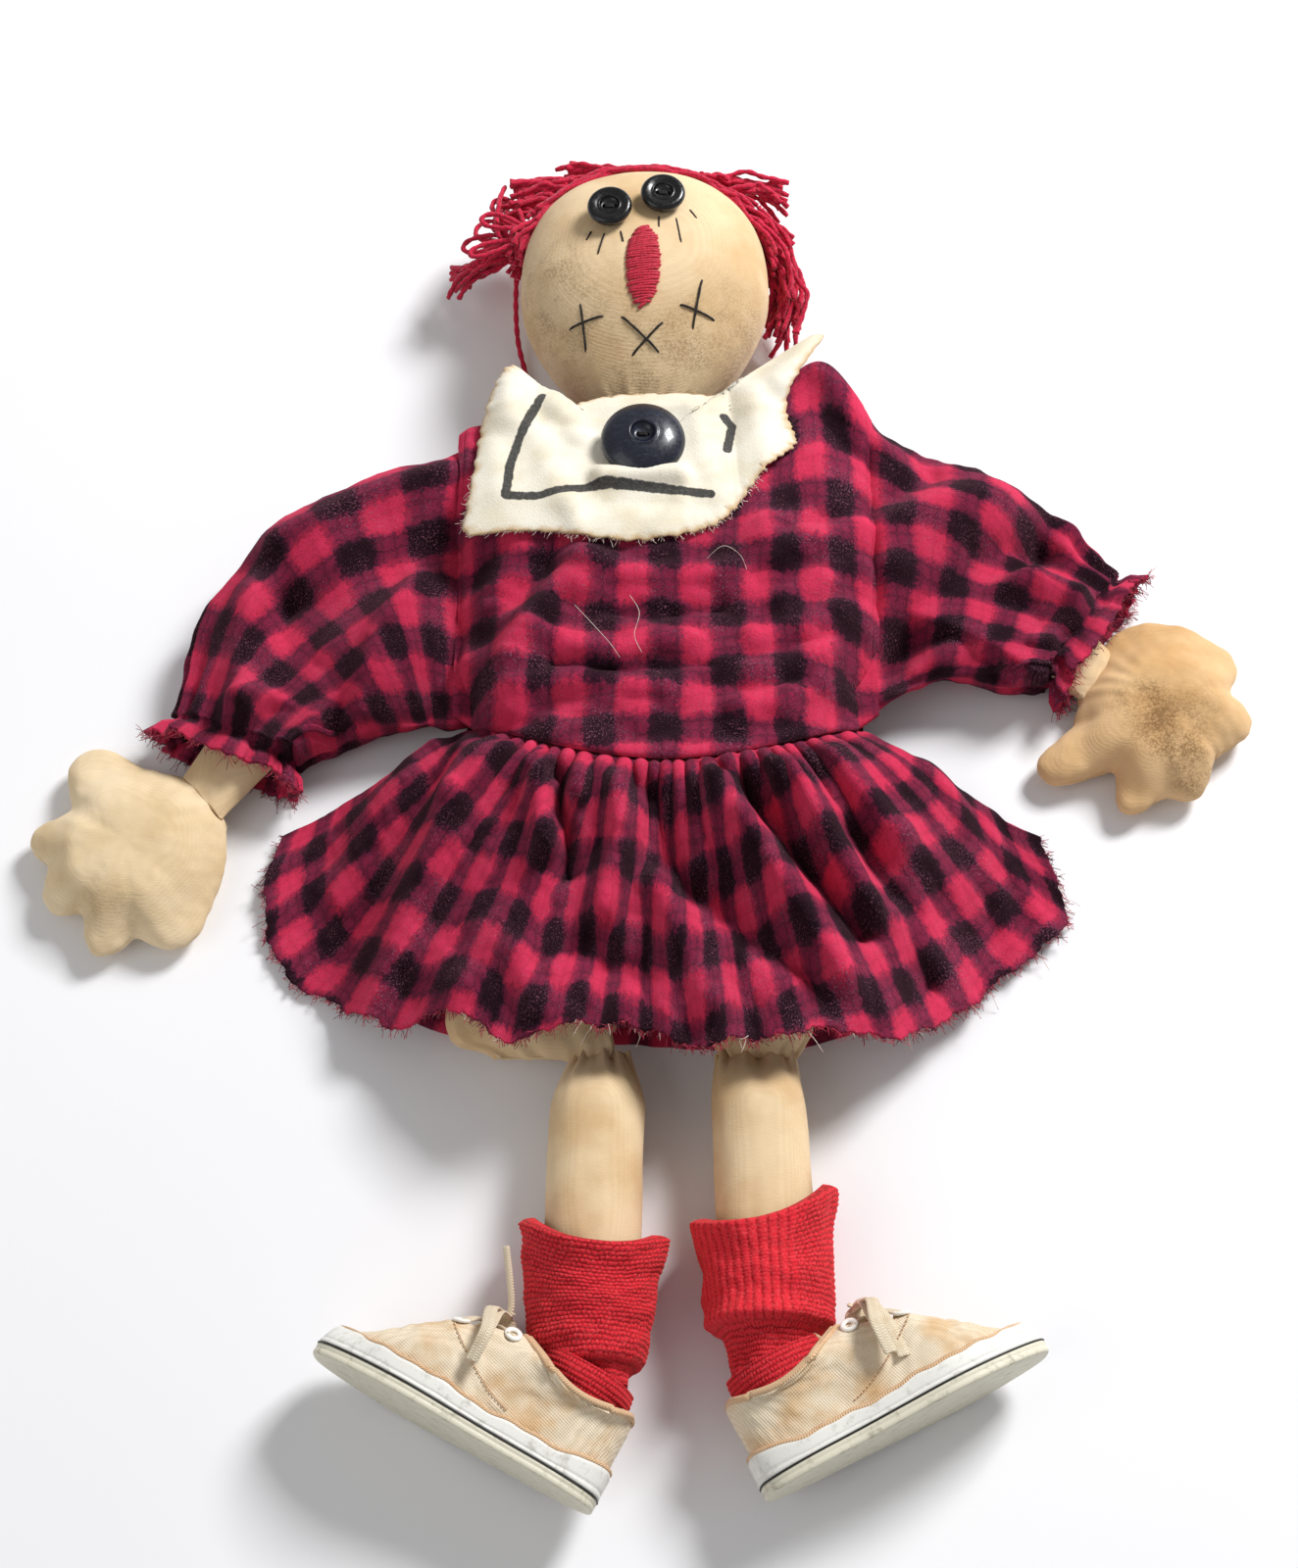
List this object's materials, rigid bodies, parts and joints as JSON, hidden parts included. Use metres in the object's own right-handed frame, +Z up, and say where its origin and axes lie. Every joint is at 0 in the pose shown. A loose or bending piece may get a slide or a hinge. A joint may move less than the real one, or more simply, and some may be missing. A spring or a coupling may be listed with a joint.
{
  "type": "rag doll",
  "caption": "Stuffed muslin rag doll in a plaid flannel dress with a felt collar, button eyes, yarn hair, knitted socks and canvas shoes; its limbs fold at their seams.",
  "frame": {"origin": "on the floor under the front of the waist, on the flat underside of the dress back, with the doll lying on its back", "axes": "+Y from the waist towards the top of the head, +Z up from the floor through the face and chest, +X towards the doll's own left hand"},
  "size_m": [0.5189, 0.6215, 0.0807],
  "materials": {
    "muslin": "tea-stained cotton muslin, stuffed",
    "plaid_flannel": "brushed plaid cotton flannel, raw edges",
    "cream_felt": "cream wool felt with a scorched raw edge",
    "black_button": "gloss",
    "black_thread": "cotton embroidery thread",
    "red_floss": "satin-stitched embroidery floss",
    "red_yarn": "twisted wool yarn",
    "red_knit": "purl-side knit with a rolled rim",
    "white_elastic": "covered elastic",
    "cream_canvas": "cotton canvas",
    "insole_board": "cloth-covered insole",
    "shoe_lace": "flat woven cotton lace",
    "white_rubber": "scuffed satin rubber",
    "green_rubber": "matte rubber",
    "white_enamel": "enamelled eyelet"
  },
  "bodies": {
    "torso": {"torso": "muslin", "bodice_front": "plaid_flannel", "bodice_back": "plaid_flannel", "skirt_front": "plaid_flannel", "skirt_back": "plaid_flannel", "collar": "cream_felt", "collar_button": "black_button"},
    "neck": {"neck": "muslin"},
    "head": {"head": "muslin", "mouth_cross": "black_thread", "cheek_cross_right": "black_thread", "cheek_cross_left": "black_thread", "nose_stitching": "red_floss", "eye_button_right": "black_button", "eye_button_left": "black_button", "eye_thread_right": "black_thread", "eye_thread_left": "black_thread", "hair_crown": "red_yarn", "hair_bunch_right": "red_yarn", "hair_bunch_left": "red_yarn", "hair_tie_right": "red_yarn"},
    "hips": {"leg_seam_strip": "muslin"},
    "arm_right": {"arm_right": "muslin", "sleeve_right": "plaid_flannel", "cuff_elastic_right": "white_elastic"},
    "hand_right": {"hand_right": "muslin"},
    "thigh_right": {"thigh_right": "muslin"},
    "shin_right": {"shin_right": "muslin", "sock_right": "red_knit"},
    "foot_right": {"foot_right": "muslin", "shoe_outsole_right": "green_rubber", "shoe_foxing_right": "white_rubber", "shoe_insole_right": "insole_board", "shoe_upper_right": "cream_canvas", "shoe_tongue_right": "cream_canvas", "eyelet_front_inner_right": "white_enamel", "eyelet_front_outer_right": "white_enamel", "eyelet_rear_inner_right": "white_enamel", "eyelet_rear_outer_right": "white_enamel", "lace_right": "shoe_lace", "bow_right": "shoe_lace"},
    "arm_left": {"arm_left": "muslin", "sleeve_left": "plaid_flannel", "cuff_elastic_left": "white_elastic"},
    "hand_left": {"hand_left": "muslin"},
    "thigh_left": {"thigh_left": "muslin"},
    "shin_left": {"shin_left": "muslin", "sock_left": "red_knit"},
    "foot_left": {"foot_left": "muslin", "shoe_outsole_left": "green_rubber", "shoe_foxing_left": "white_rubber", "shoe_insole_left": "insole_board", "shoe_upper_left": "cream_canvas", "shoe_tongue_left": "cream_canvas", "eyelet_front_inner_left": "white_enamel", "eyelet_front_outer_left": "white_enamel", "eyelet_rear_inner_left": "white_enamel", "eyelet_rear_outer_left": "white_enamel", "lace_left": "shoe_lace", "bow_left": "shoe_lace"}
  },
  "joints": [
    {"name": "neck_nod", "type": "hinge", "parent": "torso", "child": "neck", "pos_m": [0, 0.1684, 0.0302], "axis": [1, 0, 0], "range_deg": [-40, 40], "deforming": ["collar"]},
    {"name": "head_turn", "type": "hinge", "parent": "neck", "child": "head", "pos_m": [0, 0.179, 0.034], "axis": [0, 1, 0], "range_deg": [-70, 70], "deforming": ["collar"]},
    {"name": "shoulder_right", "type": "hinge", "parent": "torso", "child": "arm_right", "pos_m": [-0.06492, 0.108, 0.0302], "axis": [0.132, 0.9912, 0], "range_deg": [-45, 80], "deforming": ["sleeve_right", "bodice_front", "bodice_back", "collar"]},
    {"name": "shoulder_left", "type": "hinge", "parent": "torso", "child": "arm_left", "pos_m": [0.06492, 0.108, 0.0302], "axis": [0.132, -0.9912, 0], "range_deg": [-45, 80], "deforming": ["sleeve_left", "bodice_front", "bodice_back", "collar"]},
    {"name": "wrist_right", "type": "hinge", "parent": "arm_right", "child": "hand_right", "pos_m": [-0.1855, 0.0023, 0.0125], "axis": [-0.6691, 0.7431, 0], "range_deg": [-60, 60], "deforming": ["sleeve_right"]},
    {"name": "wrist_left", "type": "hinge", "parent": "arm_left", "child": "hand_left", "pos_m": [0.1925, 0.0585, 0.0125], "axis": [-0.6018, -0.7986, 0], "range_deg": [-60, 60], "deforming": ["sleeve_left"]},
    {"name": "hip_fold", "type": "hinge", "parent": "torso", "child": "hips", "pos_m": [0, -0.0304, 0.0302], "axis": [-1, 0, 0], "range_deg": [-40, 80], "deforming": ["skirt_front", "skirt_back"]},
    {"name": "hip_swing_right", "type": "hinge", "parent": "hips", "child": "thigh_right", "pos_m": [-0.0419, -0.0362, 0.0302], "axis": [0, 0, -1], "range_deg": [-2, 28], "deforming": ["skirt_front", "skirt_back"]},
    {"name": "hip_swing_left", "type": "hinge", "parent": "hips", "child": "thigh_left", "pos_m": [0.0459, -0.0362, 0.0302], "axis": [0, 0, 1], "range_deg": [-2, 28], "deforming": ["skirt_front", "skirt_back"]},
    {"name": "knee_right", "type": "hinge", "parent": "thigh_right", "child": "shin_right", "pos_m": [-0.025, -0.1214, 0.0214], "axis": [1, 0, 0], "range_deg": [-80, 95], "deforming": ["skirt_front", "skirt_back"]},
    {"name": "knee_left", "type": "hinge", "parent": "thigh_left", "child": "shin_left", "pos_m": [0.043, -0.1214, 0.0214], "axis": [1, 0, 0], "range_deg": [-80, 95], "deforming": ["skirt_front", "skirt_back"]},
    {"name": "ankle_right", "type": "hinge", "parent": "shin_right", "child": "foot_right", "pos_m": [-0.024, -0.249, 0.023], "axis": [0, 0, 1], "range_deg": [-10, 35], "deforming": ["sock_right"]},
    {"name": "ankle_left", "type": "hinge", "parent": "shin_left", "child": "foot_left", "pos_m": [0.048, -0.249, 0.023], "axis": [0, 0, -1], "range_deg": [-10, 35], "deforming": ["sock_left"]}
  ]
}
